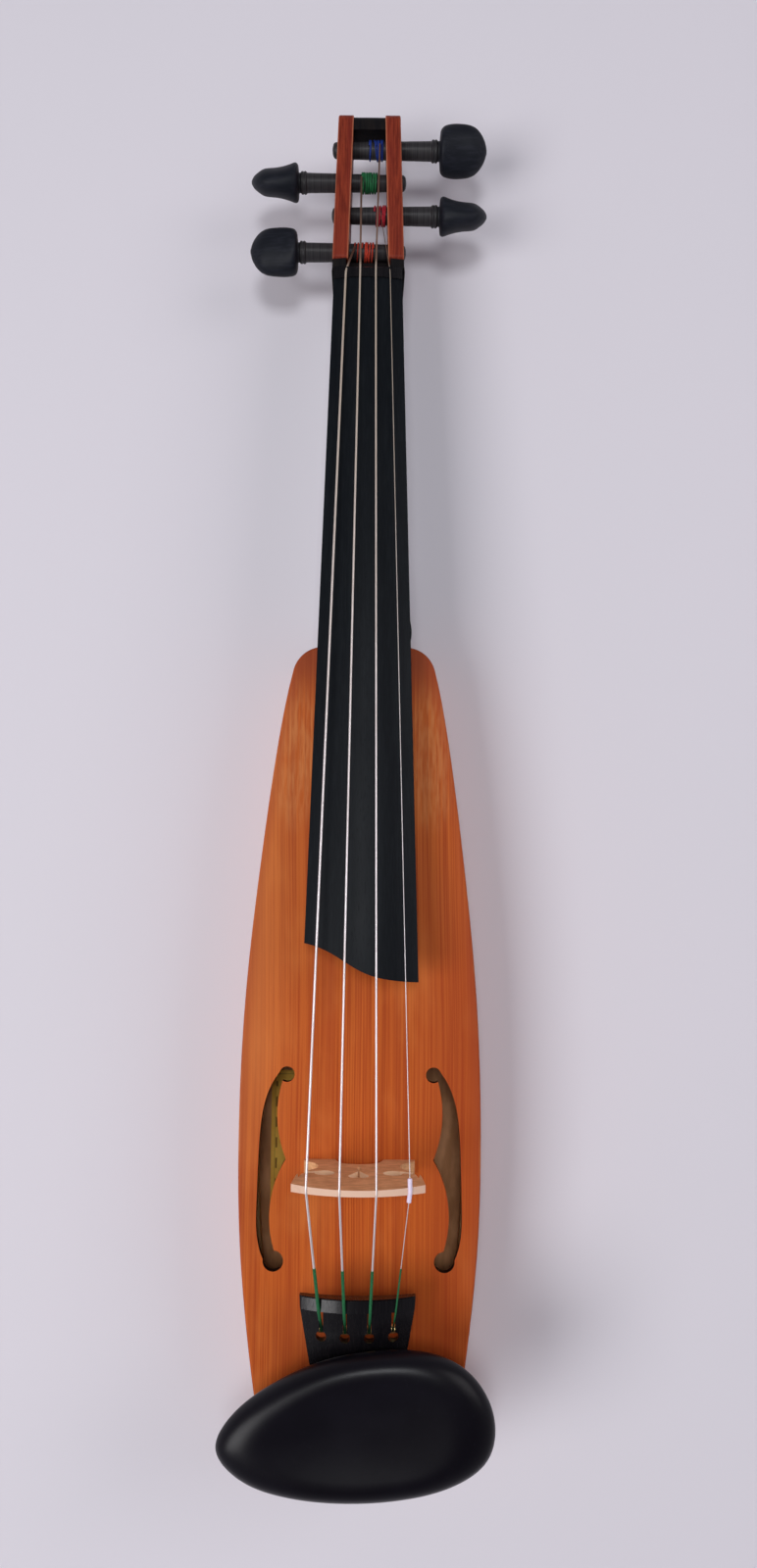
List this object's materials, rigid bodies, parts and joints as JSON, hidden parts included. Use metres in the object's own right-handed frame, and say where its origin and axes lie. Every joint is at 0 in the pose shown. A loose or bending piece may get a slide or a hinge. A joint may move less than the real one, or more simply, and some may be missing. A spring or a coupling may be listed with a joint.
{
  "type": "travel violin",
  "caption": "Slim-bodied full-scale travel violin with flat plates, an open pegbox with tuning pegs, a bridge, a tailpiece and a wide chin rest held by a screw clamp.",
  "frame": {"origin": "on the centre line under the bridge, on the back plate's flat outer face", "axes": "+Y along the strings towards the head, +X to the treble side, +Z out of the belly"},
  "size_m": [0.091, 0.5094, 0.0694],
  "materials": {
    "varnished_spruce": "thin orange-brown stain over straight-grained softwood, low satin varnish",
    "stained_maple": "orange-brown stain, satin varnish",
    "bare_spruce": "unvarnished softwood",
    "label_paper": "aged yellow-olive paper",
    "black_stained_wood": "black stain, matte",
    "orange_cheek_wood": "orange-red stain, satin",
    "ebony_board": "oiled black wood, matte with fine scraper marks",
    "ebony_fittings": "polished black wood",
    "bridge_maple": "unvarnished tan hardwood with short flecks",
    "chin_rest_black": "black satin polish",
    "cork": "sheet cork",
    "nickel": "nickel plate",
    "black_nylon": "smooth nylon cord",
    "green_silk": "wrapped green thread",
    "ball_brass": "plain brass",
    "lilac_plastic": "thin translucent sleeve",
    "wound_string": "fine flat-wound metal",
    "plain_steel_string": "drawn steel",
    "orange_red_silk": "wrapped orange-red thread",
    "blue_silk": "wrapped blue thread",
    "red_silk": "wrapped red thread",
    "peg_ebony": "black wood, soft matte polish"
  },
  "bodies": {
    "violin": {"back_plate": "stained_maple", "bass_bar": "bare_spruce", "belly": "varnished_spruce", "bridge": "bridge_maple", "cheek_bass": "orange_cheek_wood", "cheek_treble": "orange_cheek_wood", "chin_rest": "chin_rest_black", "chin_rest_corks": "cork", "clamp_rods": "nickel", "clamp_screws": "nickel", "e_string_sleeve": "lilac_plastic", "end_block": "bare_spruce", "end_button": "ebony_fittings", "fingerboard": "ebony_board", "head_block": "black_stained_wood", "label": "label_paper", "lower_linings": "bare_spruce", "neck": "black_stained_wood", "neck_block": "bare_spruce", "nut": "ebony_fittings", "rib_bass": "stained_maple", "rib_treble": "stained_maple", "saddle": "ebony_fittings", "sound_post": "bare_spruce", "string_a": "wound_string", "string_balls": "ball_brass", "string_d": "wound_string", "string_e": "plain_steel_string", "string_g": "wound_string", "string_silks": "green_silk", "tailgut": "black_nylon", "tailpiece": "ebony_fittings", "upper_linings": "bare_spruce"},
    "peg_g": {"peg_g": "peg_ebony", "winding_g": "orange_red_silk"},
    "peg_d": {"peg_d": "peg_ebony", "winding_d": "green_silk"},
    "peg_a": {"peg_a": "peg_ebony", "winding_a": "blue_silk"},
    "peg_e": {"peg_e": "peg_ebony", "winding_e": "red_silk"},
    "clamp": {"clamp_foot": "nickel", "clamp_cork": "cork"},
    "barrel_bass": {"barrel_bass": "nickel"},
    "barrel_treble": {"barrel_treble": "nickel"}
  },
  "joints": [
    {"name": "peg_g_turn", "type": "hinge", "parent": "violin", "child": "peg_g", "pos_m": [0, 0.3408, 0.0275], "axis": [-1, 0, 0], "continuous": true},
    {"name": "peg_d_turn", "type": "hinge", "parent": "violin", "child": "peg_d", "pos_m": [0, 0.3688, 0.0275], "axis": [-1, 0, 0], "continuous": true},
    {"name": "peg_a_turn", "type": "hinge", "parent": "violin", "child": "peg_a", "pos_m": [0, 0.382, 0.0275], "axis": [1, 0, 0], "continuous": true},
    {"name": "peg_e_turn", "type": "hinge", "parent": "violin", "child": "peg_e", "pos_m": [0, 0.3556, 0.0275], "axis": [1, 0, 0], "continuous": true},
    {"name": "clamp_slide", "type": "slide", "parent": "violin", "child": "clamp", "axis": [0, 0, -1], "range_m": [0, 0.004]},
    {"name": "barrel_bass_turn", "type": "hinge", "parent": "violin", "child": "barrel_bass", "pos_m": [-0.0187, -0.1063, 0.02], "axis": [0, 0, 1], "range_deg": [0, 2880]},
    {"name": "barrel_treble_turn", "type": "hinge", "parent": "violin", "child": "barrel_treble", "pos_m": [0.0187, -0.1063, 0.02], "axis": [0, 0, 1], "range_deg": [0, 2880]}
  ],
  "couplings": [
    {"joint": "barrel_bass_turn", "follows": "clamp_slide", "rad_per_m": 12566},
    {"joint": "barrel_treble_turn", "follows": "clamp_slide", "rad_per_m": 12566}
  ]
}
